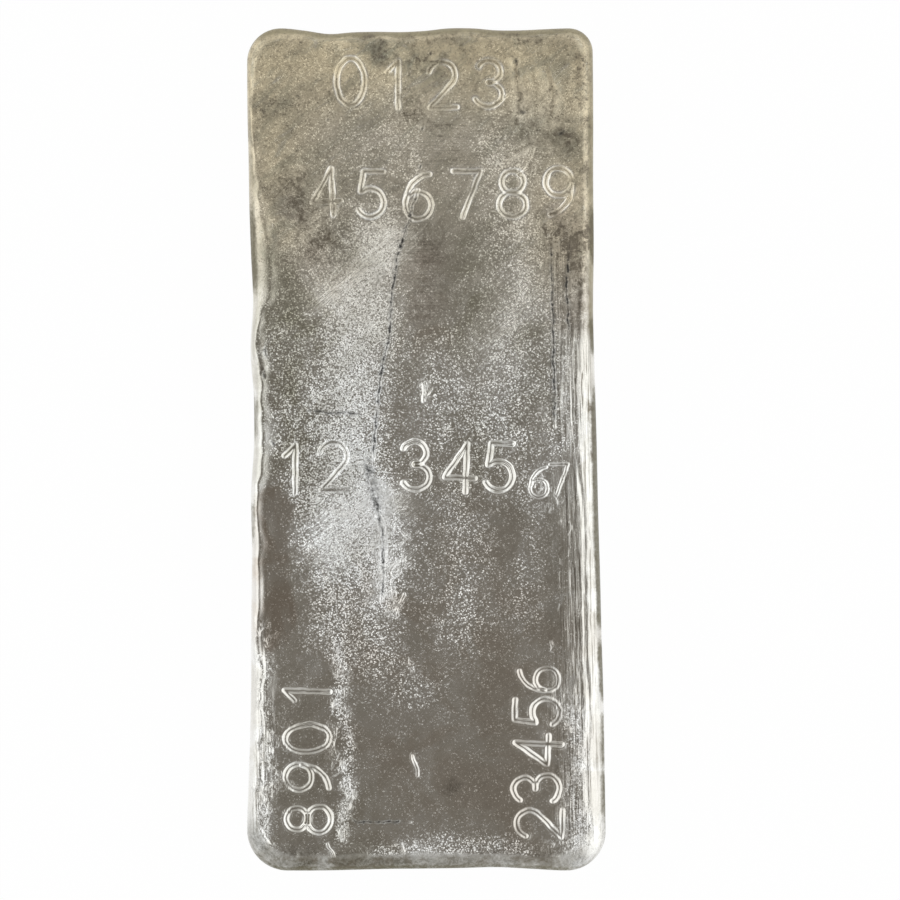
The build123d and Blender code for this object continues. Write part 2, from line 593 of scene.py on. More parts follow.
    folds: tuple[Brush, ...] = strokes(
        (4, 0.4, (-60, 38), (-59, 27)), (16, -0.4, (1, 84), (0, 50), (4, 20)),
        (6, -0.3, (51, 74), (50.4, 40)), (2.6, -0.65, (31, 138), (33, 126), (31.5, 114)),
        (2.6, 0.6, (37, 140), (39.5, 128), (38.5, 118)), (2.6, -0.6, (43.5, 136), (45.5, 126), (44, 116)),
        (2.8, 0.5, (50, 132), (52, 120)), (2.6, -0.6, (30, 104), (38, 109), (46, 108)),
        (2.8, 0.5, (44, 98), (52, 94)), (4.5, -0.22, (-52, 112), (-44, 104)),
        (4, 0.18, (-22, 108), (-10, 112)),
    )

    def figure_grooves(self) -> list[Groove]:
        """Grooves of all the punched figures."""
        hand = random.Random(self.seed)
        return [groove for row in self.rows for groove in row.grooves(hand)]

    def blank(self) -> bmesh.types.BMesh:
        """Closed mesh of the bar before any relief.

        Returns:
            The mesh in millimetres, with each point's place in its square kept in two layers.
        """
        mesh = bmesh.new()
        bmesh.ops.create_grid(mesh, x_segments=self.across, y_segments=self.along, size=1.0)
        s_layer = mesh.verts.layers.float.new("s")
        t_layer = mesh.verts.layers.float.new("t")
        points = np.array([v.co[:2] for v in mesh.verts])
        plan = self.mould.inside(points[:, 0], points[:, 1], self.mould.shoulder_ring(math.pi / 2))
        for v, (s, t), (x, y) in zip(mesh.verts, points, plan):
            v[s_layer], v[t_layer] = s, t
            v.co = (x, y, self.mould.height)
        border = [e for e in mesh.edges if e.is_boundary]
        for ring in self.mould.rings_down():
            made = bmesh.ops.extrude_edge_only(mesh, edges=border)["geom"]
            fresh = [g for g in made if isinstance(g, bmesh.types.BMVert)]
            border = [g for g in made if isinstance(g, bmesh.types.BMEdge)]
            s = np.array([v[s_layer] for v in fresh])
            t = np.array([v[t_layer] for v in fresh])
            for v, (x, y) in zip(fresh, self.mould.around(s, t, ring)):
                v.co = (x, y, ring.height)
        base = bmesh.ops.edgeloop_fill(mesh, edges=border)["faces"]
        bmesh.ops.triangulate(mesh, faces=base)
        bmesh.ops.recalc_face_normals(mesh, faces=mesh.faces)
        return mesh

    def refine(self, mesh: bmesh.types.BMesh, grooves: Iterable[Groove], reach: float) -> None:
        """Halves the cast face's mesh near grooves.

        Args:
            mesh: The mesh to refine.
            grooves: Grooves that need it.
            reach: Distance from a groove's middle that is refined, in half widths.
        """
        face_list = [f for f in mesh.faces if f.normal.z > self.face_tilt]
        centres = np.array([f.calc_center_median()[:2] for f in face_list])
        chosen = np.zeros(len(face_list), dtype=bool)
        for groove in grooves:
            spots = np.array(groove.path)
            margin = reach * groove.half_width + 1.0
            close = ((centres > spots.min(0) - margin) & (centres < spots.max(0) + margin)).all(axis=1)
            near = distance_to_path(centres[close], groove.path) < reach * groove.half_width
            chosen[np.flatnonzero(close)[near]] = True
        edges = {e for f, take in zip(face_list, chosen) if take for e in f.edges}
        bmesh.ops.subdivide_edges(mesh, edges=list(edges), cuts=1, use_grid_fill=True)

    def build(self) -> bpy.types.Object:
        """Builds the bar's object with its relief and the weights of its finish.

        Returns:
            The object, at the origin.
        """
        mesh = self.blank()
        fine = [*self.figure_grooves(), *self.splits, *self.pits, *self.gouges]
        for grooves, reach in zip(([*fine, *self.laps], fine), self.refined):
            self.refine(mesh, grooves, reach)
        s_layer = mesh.verts.layers.float["s"]
        t_layer = mesh.verts.layers.float["t"]
        mesh.normal_update()
        points = np.array([v.co for v in mesh.verts])
        normals = np.array([v.normal for v in mesh.verts])
        square = np.array([(v[s_layer], v[t_layer]) for v in mesh.verts])
        moved, weights = Relief(self, points, square, normals).moved()
        for v, place in zip(mesh.verts, moved):
            v.co = Vector(place) * MM
        data = bpy.data.meshes.new("cast_bar")
        mesh.to_mesh(data)
        mesh.free()
        for name in ("s", "t"):
            data.attributes.remove(data.attributes[name])
        for name, weight in weights.items():
            layer = data.attributes.new(name, "FLOAT", "POINT")
            layer.data.foreach_set("value", weight.astype(np.float32))
        data.shade_smooth()
        bar = placed("cast_bar", data)
        triangles = sum(len(p.vertices) - 2 for p in data.polygons)
        LOG.info("cast_bar: %d points, %d triangles", len(data.vertices), triangles)
        return bar


DARK_PATCH = Brush(((-55.5, -20), (-54.5, -68)), 7.5, crisp=True)
BRIGHT_SEAM = Brush(((-31, -68), (-29.5, -135)), 4.5, 0.7)
OVER_THE_RIM = ("tan", "olive", "film")
ZONES: dict[str, tuple[Brush, ...]] = {
    "frost": strokes(
        (23, 0.95, (-14, 70), (-21, 52), (-26, 32), (-28, 10), (-26, -11), (-22, -34)),
        (18, 0.42, (-18, -50), (-19, -66)), (8, 0.6, (-20, -10), (-17, -35), (-16, -52)),
        (24, 0.3, (-48, 72), (-50, 42), (-48, 18), (-45, -7)),
        (28, 0.43, (36, 73), (34, 53), (28, 32), (26, 10)), (9, 0.25, (48, 36), (47, 0)),
        (14, 0.25, (5, 36), (5, 3)), (20, 0.27, (10, -18), (15, -61)), (10, 0.16, (38, -10), (36, -61)),
        (15, 0.5, (-38, -18), (-34, -61)), BRIGHT_SEAM, (14, 0.3, (-27, -71), (-2, -86)),
        (6, 0.5, (-16, -142), (5, -141), (33, -142)), (6, 0.7, (53, -96), (54, -146)),
        (60, 0.2, (-45, 125), (47, 125)), (18, 0.15, (0, 105), (30, 110)), (7, 0.5, (24, 105), (38, 99)),
        (16, 0.3, (-48, 86), (-30, 74)), (6.5, 0.3, (-57, -68), (-57, -139)),
    ),
    "tan": strokes(
        (50, 0.95, (-60, 140), (60, 140)), (28, 0.8, (-58, 120), (-52, 80)),
        (26, 0.75, (58, 120), (52, 75)), (34, 0.35, (-30, 95), (40, 95)), (52, 0.25, (-45, 62), (40, 62)),
    ),
    "stain": strokes(
        (3.5, 0.5, (-58, 121), (-53, 122.5)), (10, 0.38, (34, 116), (48, 111)),
        (2.4, 0.3, (31, 138), (33, 126), (31.5, 114)), (2.4, 0.3, (43.5, 136), (45.5, 126), (44, 116)),
        (16, 0.5, (-48, 91), (-36, 76)), (8, 0.4, (-13, 141), (2, 135)), (7, 0.3, (-9, 121), (2, 114)),
        (6, 0.5, (57.5, 138), (58, 90), (57, 60)), (3, 0.3, (-30, 146.5), (40, 147)),
        (5.5, 0.55, (-53, -144.5), (-42, -146), (45, -146)), (12, 0.25, (-2, 78), (0, 50)),
        (9, 0.3, (-3, 126), (3, 136)), (3, 0.7, (-58, 34), (-57.6, 28)), (2.2, 0.8, (58, 16), (60.4, -8)),
        (9, 0.65, (45, 78), (53, 74)), (8, 0.45, (52, 70), (55, 46)), (3.5, 0.6, (9, -120), (10, -119)),
    ),
    "dim": strokes(
        (6.5, 0.95, (44, -20), (45.5, -66)), (40, 0.35, (-10, -95), (33, -92), (20, -118)), DARK_PATCH,
        (14, 0.75, (-1, 82), (0, 62), (-4, 44)), (16, 0.45, (-41, -82), (-41, -138)),
        (11, 0.5, (-6, -22), (-4, -66)), (9, 0.4, (30, -20), (28, -40)),
    ),
    "flake": strokes(
        (7, 0.9, (-58, -66), (-57.6, -139)), (8, 0.3, (-50, -100), (-50, -128)), BRIGHT_SEAM,
        (5, 0.4, (-34, -100), (-34, -115)), (8, 0.5, (53, -90), (54, -146)),
        (8, 0.45, (44, -140), (58, -144)), (7, 0.4, (-16, -141), (20, -142)),
        (6, 0.6, (-12, -40), (-11, -58)), (3.5, 0.5, (0, 20), (2, 16)), (5, 0.4, (-6, -70), (-3, -84)),
        (8, 0.5, (42, -12), (48, -22)),
    ),
    "film": strokes(
        (50, 0.65, (-8, -70), (30, -75), (24, -125), (-8, -100)), DARK_PATCH, (12, 0.9, (-4, 66), (0, 44)),
        (11, 0.7, (48, 86), (52, 50)), (16, 0.7, (-46, 84), (-40, 68)), (24, 0.4, (15, -25), (20, -60)),
    ),
    "brushed": strokes(
        (22, 0.9, (-2, 112), (22, 110)), (14, 0.8, (-6, 74), (0, 50)),
        (26, 0.5, (10, -30), (30, -60), (10, -90)),
    ),
    "swept": strokes(
        (13, 0.9, (-36, 54), (-27, 64), (-14, 74)), (15, 0.8, (-37, -32), (-24, -19)),
        (9, 0.6, (-13, -18), (-9, -36)), (12, 0.5, (40, 54), (22, 40)),
    ),
    "sheen": strokes(
        (8, 0.7, (-19.5, -12), (-17.5, -30), (-18, -52)), (16, 0.5, (-24, -18), (-32, -38)),
        (16, 0.4, (-16, 66), (-24, 36), (-26, 12)), (7, 0.5, (-13, -14), (-7, -22)),
        (20, 0.3, (30, 54), (24, 26)),
    ),
    "olive": strokes(
        (22, 0.9, (-50, 66), (-48, 30), (-46, 0)), (16, 0.6, (14, 70), (10, 40)),
        (5, 0.9, (-58, 121), (-51, 122.5)), (9, 0.9, (-15, 141), (1, 136)),
        (10, 0.7, (34, 116), (48, 110)), (18, 0.8, (-48, 86), (-32, 76)), (12, 0.6, (40, 40), (38, 26)),
        (14, 0.4, (18, 10), (16, -10)), (20, 0.4, (-44, -110), (-20, -140)),
    ),
    "streak": strokes(
        (11, 0.9, (53, 37), (55, 10), (55, -18), (55, -54), (54, -89), (53, -136)),
        (4, 0.4, (59.5, 20), (60.5, -50), (60.5, -120)), (5.5, 0.7, (-59.5, -66), (-59.5, -132)),
        (3, 0.5, (-54.5, -80), (-54, -105)), (8, 0.5, (47, 72), (47, 20)),
    ),
}


class Relief:
    """Relief of one bar's blank, and the weights of its finish."""

    def __init__(self, bar: CastBar, points: Array, square: Array, normals: Array) -> None:
        """Works out where each point lies on the bar.

        Args:
            bar: The bar.
            points: Points of the blank in millimetres, one a row.
            square: Their places in the square that the face was spread from.
            normals: Their outward directions.
        """
        self.bar, self.points, self.normals = bar, points, normals
        self.plan, self.height = points[:, :2], points[:, 2]
        self.s, self.t = square[:, 0], square[:, 1]
        self.upright = normals[:, 2]
        self.rise = self.height - bar.mould.rim
        self.above = smooth_step(-1.5, 0.5, self.rise)
        self.face = smooth_step(0.3, 0.8, self.upright) * (self.height > bar.mould.rim)
        self.flat = (self.height > bar.mould.height - 1e-4).astype(float)
        self.warp = 4.0 * self.drift(0.06, 0.06, 4.4, 9.3) + 1.6 * self.drift(0.25, 0.2, 7.7, 2.9)
        self.wander = self.drift(0.35, 0.35, 1.3, 5.9)

    def waves(self, across: float, along: float, seat: float, up: float = 0.0) -> Array:
        """Smooth noise at the points, by its waves per millimetre along each axis."""
        return ripple(self.points, (across, along, up), seat)

    def drift(self, across: float, along: float, *seats: float) -> Array:
        """Smooth shift in plan, with a pattern of its own for each axis."""
        return np.stack([self.waves(across, along, seat) for seat in seats], axis=1)

    def zones(self) -> Weights:
        """Weights of the finish that lie in zones.

        Returns:
            The weights by name.
        """
        weights = {"wall": 1.0 - self.above}
        for name, brushes in ZONES.items():
            bare = np.ones(len(self.plan))
            for brush in brushes:
                bare *= 1.0 - brush.weight(self.plan + self.warp)
            weights[name] = (1.0 - bare) * (self.above if name in OVER_THE_RIM else self.face)
        split = np.array(self.bar.splits[0].path)[::-1]
        past = self.plan[:, 0] - np.interp(self.plan[:, 1], split[:, 1], split[:, 0])
        strip = smooth_step(0.0, 2.0, past) * (1.0 - smooth_step(14.0, 26.0, past))
        strip = strip * smooth_step(45.0, 62.0, self.plan[:, 1])
        weights["frost"] *= 1.0 - 0.8 * strip
        weights["dim"] = np.maximum(weights["dim"], 0.5 * strip * self.face)
        return weights

    def rolling(self, tan: Array) -> Array:
        """Broad relief of the cast face: rolling, lumps, beads, folds, and the trough on the left.

        Args:
            tan: Weight of the oxide, where lumps stand higher.

        Returns:
            The change of height at each point.
        """
        side, end = 1 - np.abs(self.s), 1 - np.abs(self.t)
        inner = smooth_step(0.0, 0.1, side) * smooth_step(0.0, 0.04, end) * self.flat
        border = 1.0 - smooth_step(0.0, 0.13, side) * smooth_step(0.0, 0.05, end) * self.flat
        broad = 0.5 * self.waves(0.03, 0.022, 3.7) + 0.2 * self.waves(0.09, 0.06, 8.1)
        bent = self.points + 2.5 * np.column_stack([self.warp[:, ::-1], 0.0 * self.s]) / 4.0
        lumps = 0.09 * ripple(bent, (0.17, 0.15, 0.0), 5.2) + 0.045 * self.waves(0.42, 0.38, 2.6)
        beads = self.waves(0.09, 0.055, 6.1) + 0.5 * self.waves(0.26, 0.17, 1.7)
        lift = (broad - 0.2) * inner + lumps * (1.0 + tan) * self.face
        lift -= 0.5 * np.clip(0.5 + beads, 0.0, 1.2) * border * self.face
        for fold in self.bar.folds:
            lift += fold.weight(self.plan + 0.5 * self.warp) * self.face
        stations = np.array(self.bar.trough)
        along = self.plan[:, 1] + self.warp[:, 1]
        depth, reach = (np.interp(along, stations[:, 0], stations[:, k]) for k in (1, 2))
        inward = self.bar.half_face * (1 + self.s) / reach
        lift -= depth * inward**2 * np.exp(2.0 - 2.0 * inward) * self.flat
        left = (1.0 - smooth_step(0.0, 0.1, 1 + self.s)) * self.face
        return lift + 0.3 * left * self.waves(0.3, 0.2, 3.9)

    def marks(self, weights: Weights) -> Array:
        """Fine relief of the cast face: figures, splits, pits, laps and gouges.

        Args:
            weights: Weights of the finish, to which those of the marks are added.

        Returns:
            The change of height at each point.
        """
        plan, wander = self.plan, self.wander
        pressed, worn, torn = np.zeros((3, len(plan)))
        for groove in self.bar.figure_grooves():
            change, crest = groove.punched(plan + 0.25 * wander)
            pressed += change
            # Figure edges are lighter: partly wear, partly a painted highlight.
            worn = np.maximum(worn, crest)
        uneven = np.clip(0.8 + 0.9 * self.waves(0.14, 0.14, 7.1), 0.35, 1.15)
        marks = pressed * uneven
        dotted = np.clip(0.85 + 1.2 * self.waves(0.7, 0.7, 6.6), 0.35, 1.0)
        for groove in self.bar.splits:
            gap = distance_to_path(plan + 0.5 * wander, groove.path)
            marks += groove.lift(gap) * dotted
            # Painted shade darkens the inside of each split.
            dark = groove.black * dotted * groove.taper(plan, 5.0)
            torn = np.maximum(torn, dark * groove.shade(gap, 1.1))
        for groove in self.bar.pits:
            gap = distance_to_path(plan + 0.4 * wander, groove.path)
            marks += groove.lift(gap)
            # Painted shade darkens the inside of each pit.
            torn = np.maximum(torn, 0.75 * groove.shade(gap, 0.8))
        slow = np.column_stack([self.waves(0.05, 0.05, 3.1), np.zeros(len(plan))])
        for groove in self.bar.laps:
            gap = distance_to_path(plan + 1.2 * slow + 0.15 * wander, groove.path)
            marks += groove.lift(gap) * np.clip(uneven + 0.1, 0.3, 1.0) * groove.taper(plan, 14.0)
        for groove in self.bar.gouges:
            marks += groove.lift(distance_to_path(plan + 0.9 * wander, groove.path)) * uneven
        patches = np.clip(0.55 + 1.3 * self.waves(0.22, 0.22, 3.3), 0.0, 1.0)
        weights["pressed"] = np.clip(-pressed / 0.4, 0.0, 1.0) * self.face
        # Patchy lighter edges: partly wear, partly a painted highlight.
        weights["worn"] = worn * patches * self.face
        weights["torn"] = torn * self.face
        return marks * self.face

    def rims(self) -> Weights:
        """Weights round the rim: soot with a painted dark reflection on the steep rim, dull metal, and grime
        with painted shade on the wide end's shoulder.

        Returns:
            The weights by name.
        """
        below = np.exp(-np.maximum(-self.rise, 0.0) / 5.0)
        weights = {}
        for name, brushes, share in (
            # Soot, partly a painted dark reflection, on the steep rim.
            ("sooty", self.bar.rim_soot_and_reflection, 1.0 - smooth_step(0.5, 0.9, self.upright)),
            ("dull", self.bar.rim_dull, np.clip((0.97 - self.upright) / 0.4, 0.0, 1.0)),
            # Grime and painted shade over the wide end's shoulder, where it starts to tilt.
            ("grime", self.bar.rim_grime_and_shade, np.clip((0.9998 - self.upright) / 0.02, 0.0, 1.0)),
        ):
            weights[name] = below * share * np.max([brush.weight(self.plan) for brush in brushes], axis=0)
        return weights

    def mould_marks(self) -> Array:
        """Laps and grain of the mould walls.

        Returns:
            The change of height at each point.
        """
        wall = (1 - self.face) * smooth_step(0.5, 3.0, self.height) * smooth_step(1.0, 7.0, -self.rise)
        laps = -0.35 * (0.5 + 0.5 * self.waves(0.035, 0.035, 2.2, 0.3))
        grain = -0.22 * (0.5 + 0.5 * self.waves(0.22, 0.22, 6.4, 0.3))
        return (laps + grain) * wall

    def left_roll(self) -> Array:
        """Roll of the bead along the left rim.

        Returns:
            The sideways shift of each point.
        """
        roll = np.clip(self.rise / self.bar.mould.shoulder_drop, 0.0, 1.0) ** 2
        ends = smooth_step(95.0, 125.0, np.abs(self.plan[:, 1]))
        roll *= np.exp(-self.bar.half_face * (1 + self.s) / 7.0) * (1.0 - ends)
        wave = 0.4 + 0.9 * self.waves(0.0, 0.085, 5.5) + 0.9 * self.waves(0.0, 0.21, 2.4)
        return roll * np.clip(wave, -0.5, 1.6)

    def moved(self) -> tuple[Array, Weights]:
        """Moves the blank's points into the relief of the cast face and walls.

        Returns:
            The moved points, and the weights of the finish by name.
        """
        weights = self.zones()
        lift = self.rolling(weights["tan"])
        lift += self.marks(weights) + self.mould_marks()
        weights.update(self.rims())
        moved = self.points + self.normals * lift[:, None]
        moved[:, 0] += self.left_roll()
        moved[:, 2] -= self.bar.mould.top_sag * (1 - self.s * self.s) * (1 - self.t**4) * self.flat
        low, high = (np.array(corner) / MM for corner in CAD_BOX)
        return np.clip(moved, low, high), weights


class Value:
    """A value in a node tree, whose arithmetic adds Math nodes."""

    def __init__(self, paint: "Paint", socket: Socket) -> None:
        """Wraps an output socket of a tree."""
        self.paint = paint
        self.socket = socket

    def maths(self, operation: str, *others: Operand, swap: bool = False) -> "Value":
        """Adds one Math node.

        Args:
            operation: The node's operation.
            others: The other values it takes.
            swap: True where this value comes second.

        Returns:
            The node's result.
        """
        parts = [self, *others]
        if swap:
            parts.reverse()
        made = self.paint.node("Math", dict(enumerate(parts)), operation=operation)
        return Value(self.paint, made.outputs[0])

    def __add__(self, other: Operand) -> "Value":
        """Sum."""
        return self.maths("ADD", other)

    __radd__ = __add__

    def __mul__(self, other: Operand) -> "Value":
        """Product."""
        return self.maths("MULTIPLY", other)

    __rmul__ = __mul__

    def __sub__(self, other: Operand) -> "Value":
        """Difference."""
        return self.maths("SUBTRACT", other)

    def __rsub__(self, other: Operand) -> "Value":
        """Difference from a number."""
        return self.maths("SUBTRACT", other, swap=True)

    def __pow__(self, other: Operand) -> "Value":
        """Power."""
        return self.maths("POWER", other)

    def at_least(self, other: Operand) -> "Value":
        """Larger of two values."""
        return self.maths("MAXIMUM", other)

    def at_most(self, other: Operand) -> "Value":
        """Smaller of two values."""
        return self.maths("MINIMUM", other)

    def ramp(self, low: float, high: float) -> "Value":
        """Eased ramp from 0 at one value to 1 at another."""
        limits = {"Value": self, "From Min": low, "From Max": high}
        made = self.paint.node("MapRange", limits, interpolation_type="SMOOTHSTEP")
        return Value(self.paint, made.outputs["Result"])


class Paint:
    """Node tree of one material or of the room, with the few ways of adding to it that are used here."""

    def __init__(self, owner: bpy.types.Material | bpy.types.World) -> None:
        """Empties the tree of a material or of the room."""
        owner.use_nodes = True
        self.tree = owner.node_tree
        self.tree.nodes.clear()

    def node(self, kind: str, inputs: dict[object, object], **settings: object) -> bpy.types.Node:
        """Adds any shader node.

        Args:
            kind: The node's type.
            inputs: Values or links for its sockets, by name or place.
            settings: Properties, which are set first.

        Returns:
            The new node.
        """
        made = self.tree.nodes.new(f"ShaderNode{kind}")
        for name, setting in settings.items():
            setattr(made, name, setting)
        for name, given in inputs.items():
            if isinstance(given, Value):
                self.tree.links.new(given.socket, made.inputs[name])
            elif isinstance(given, Socket):
                self.tree.links.new(given, made.inputs[name])
            else:
                made.inputs[name].default_value = given
        return made

    def weight(self, name: str) -> Value:
        """Weight kept on the piece's points under a name."""
        made = self.node("Attribute", {}, attribute_name=name, attribute_type="GEOMETRY")
        return Value(self, made.outputs["Fac"])

    def weights(self, names: str) -> list[Value]:
        """Weights under several names, which are parted by spaces."""
        return [self.weight(name) for name in names.split()]

    def vectors(self, operation: str, inputs: dict[object, object]) -> bpy.types.Node:
        """Adds one Vector Math node."""
        return self.node("VectorMath", inputs, operation=operation)

    def place(self) -> Socket:
        """Object coordinates in millimetres."""
        spot = self.node("TexCoord", {})
        return self.vectors("SCALE", {0: spot.outputs["Object"], "Scale": 1.0 / MM}).outputs[0]

    def stretched(self, place: Socket, turn: float, scale: Triple) -> Socket:
        """Coordinates turned about the upright axis, then scaled."""
        turned = self.node("Mapping", {"Vector": place, "Rotation": (0.0, 0.0, math.radians(turn))})
        return self.vectors("MULTIPLY", {0: turned.outputs[0], 1: scale}).outputs[0]

    def grain(self, place: Socket, scale: float, detail: float, rough: float, swirl: float = 0.0) -> Value:
        """Noise with a number of waves to the millimetre."""
        inputs = {"Vector": place, "Scale": scale, "Detail": detail, "Roughness": rough, "Distortion": swirl}
        return Value(self, self.node("TexNoise", inputs).outputs["Fac"])

    def strands(
        self, place: Socket, turn: float, scale: Triple, detail: float, rough: float, swirl: float = 0.0
    ) -> Value:
        """Noise drawn out along one way, with waves to the millimetre along each axis."""
        return self.grain(self.stretched(place, turn, scale), 1.0, detail, rough, swirl)

    def facets(self, place: Socket, size: float) -> tuple[Value, Value]:
        """Crystals in plan that each tilt their own way.

        Args:
            place: Coordinates in millimetres.
            size: Width of a crystal.

        Returns:
            Height of the tilted crystals, and a chance number from 0 to 1 for each.
        """
        plan = self.stretched(place, 0.0, (1.0, 1.0, 0.0))
        cells = self.node("TexVoronoi", {"Vector": plan, "Scale": 1.0 / size}, voronoi_dimensions="2D")
        offset = self.vectors("SUBTRACT", {0: plan, 1: cells.outputs["Position"]})
        tilt = self.vectors("SUBTRACT", {0: cells.outputs["Color"], 1: (0.5, 0.5, 0.5)})
        rise = self.vectors("DOT_PRODUCT", {0: offset.outputs[0], 1: tilt.outputs[0]})
        parts = self.node("SeparateXYZ", {"Vector": cells.outputs["Color"]})
        near = Value(self, cells.outputs["Distance"]).ramp(0.75, 0.2)
        return (Value(self, rise.outputs["Value"]) * 2.6 + 0.06) * near, Value(self, parts.outputs["Z"])

    def blend(self, factor: Value, first: object, second: object) -> Socket:
        """Colour between two colours."""
        made = self.node("Mix", {0: factor, 6: first, 7: second}, data_type="RGBA")
        return made.outputs[2]


@dataclass(frozen=True)
class CastSilver:
    """Finish of the cast metal: frosted crystals, warm oxide, stains, streaks and dull mould walls, with
    painted shade in splits, pits, crystal gaps and on the rim, a painted dark reflection on the steep rim,
    and painted highlights on the figures' edges.
    """

    silver: Colour = (0.88, 0.865, 0.82, 1.0)
    oxide: Colour = (0.85, 0.73, 0.50, 1.0)
    cold: Colour = (0.93, 0.94, 0.945, 1.0)
    haze: Colour = (0.42, 0.405, 0.31, 1.0)
    film: Colour = (0.73, 0.64, 0.56, 1.0)
    wall: Colour = (0.52, 0.50, 0.45, 1.0)
    # Soot, and a painted dark reflection on the steep rim.
    soot_reflection_colour: Colour = (0.15, 0.135, 0.085, 1.0)
    rim: Colour = (0.34, 0.30, 0.19, 1.0)
    # Grime, and painted shade on the wide end's shoulder.
    grime: Colour = (0.09, 0.084, 0.06, 1.0)
    # Dirt, and painted shade in the gaps between crystals.
    soil_and_shade: Colour = (0.17, 0.145, 0.11, 1.0)
    # Painted shadow inside the splits and pits.
    black: Colour = (0.03, 0.03, 0.03, 1.0)
    crystal: float = 0.45
    mirror: float = 0.15

    def material(self) -> bpy.types.Material:
        """Builds the material.

        Returns:
            The finished material.
        """
        material = bpy.data.materials.new("cast_silver")
        paint = Paint(material)
        place = paint.place()
        frost, tan, stain, dim = paint.weights("frost tan stain dim")
        streak, pressed, torn, wall = paint.weights("streak pressed torn wall")
        sooty, worn, film, brushed = paint.weights("sooty worn film brushed")
        flake, swept, olive, dull = paint.weights("flake swept olive dull")
        sheen, grime = paint.weights("sheen grime")
        frost = frost * (1.0 - 0.85 * dim)
        crystals = paint.grain(place, 1.2, 1.2, 0.5)
        flecks = paint.strands(place, 4.0, (0.8, 0.35, 0.5), 2.0, 0.55)
        clusters = paint.grain(place, 0.16, 2.0, 0.6).ramp(0.46, 0.62)
        drag = paint.strands(place, -40.0, (0.05, 1.6, 1.0), 2.0, 0.6)
        comb = paint.strands(place, 0.0, (0.07, 2.0, 1.0), 2.0, 0.6)
        lines = paint.strands(place, -1.0, (1.1, 0.03, 1.0), 3.0, 0.65, 0.25)
        nicks = paint.strands(place, 0.0, (0.8, 2.2, 1.0), 3.0, 0.7)
        satin = paint.grain(place, 3.0, 2.0, 0.6)
        speckle = paint.grain(place, 0.8, 4.0, 0.75)
        cloud = paint.grain(place, 0.06, 6.0, 0.62, 0.8)
        grit = paint.grain(place, 0.35, 6.0, 0.8, 0.6)
        smear = paint.strands(place, -40.0, (0.045, 0.13, 1.0), 6.0, 0.66, 0.5)
        patch = paint.grain(place, 0.2, 4.0, 0.65).ramp(0.34, 0.66)
        thread = paint.strands(place, -38.0, (0.02, 0.3, 1.0), 1.0, 0.5)
        scratch = (thread - 0.5).maths("ABSOLUTE").ramp(0.05, 0.0) * smear.ramp(0.52, 0.60)
        worn = worn.at_least(scratch * (0.15 + 0.45 * tan))
        ragged = (lines - 0.5) * 0.4 + (speckle - 0.5) * 0.5 + (cloud - 0.5) * 0.9
        sooty = (sooty + ragged * sooty.ramp(0.0, 0.3)).ramp(0.25, 0.75)
        dull = (dull + ragged * 0.7 * dull.ramp(0.0, 0.3)).ramp(0.2, 0.8)
        clean = (1.0 - 0.8 * pressed - 0.7 * worn).at_least(0.05)
        facet, chance = paint.facets(place, self.crystal)
        fleck = flecks.ramp(0.53, 0.58) * clusters * flake
        height = crystals * (0.015 + 0.07 * frost) * clean + flecks * clusters * flake * 0.9
        tilt = (0.13 + 1.9 * frost**1.1 + 0.2 * tan) * (1.0 - 0.4 * sheen)
        height = height + facet * chance ** (4.2 - 2.8 * frost) * tilt * (0.5 + 0.8 * patch) * clean
        height = height + drag * (0.01 + 0.05 * frost + 0.02 * tan + 0.42 * swept) * clean
        height = height + comb * (0.02 + 0.11 * brushed) + lines * streak * 0.27 + satin * 0.022
        bump = paint.node("Bump", {"Strength": 1.0, "Distance": MM, "Height": height})
        # Oxide thins on the lighter figure edges, which are partly wear and partly a painted highlight.
        warm = tan * (1.0 - 0.7 * worn)
        patchy = cloud.ramp(0.40, 0.64)
        broad = paint.grain(place, 0.022, 3.0, 0.55).ramp(0.38, 0.62)
        grey = smear.ramp(0.43, 0.65) * (0.15 + 0.5 * tan) + olive * (0.3 + 0.5 * patchy)
        # Dirt and stains; pressed floors and dim zones are darker too.
        dirt_and_gap_shade = stain * (0.1 + 0.5 * patchy + 0.75 * grit.ramp(0.58, 0.40)) + pressed * 0.18 + dim * 0.14
        dirt_and_gap_shade = dirt_and_gap_shade + patchy * (0.12 + 0.08 * tan) + speckle.ramp(0.44, 0.30) * (0.1 + 0.35 * patchy * tan)
        dirt_and_gap_shade = dirt_and_gap_shade + broad * tan * 0.16
        dirt_and_gap_shade = dirt_and_gap_shade + streak * lines.ramp(0.50, 0.38) * 0.8 + grit.ramp(0.54, 0.36) * (0.06 + 0.26 * tan)
        dirt_and_gap_shade = dirt_and_gap_shade + drag.ramp(0.46, 0.34) * tan * 0.12 + nicks.ramp(0.42, 0.34) * (0.05 + 0.24 * tan)
        dirt_and_gap_shade = dirt_and_gap_shade + comb.ramp(0.48, 0.36) * brushed * (0.1 + 0.3 * tan)
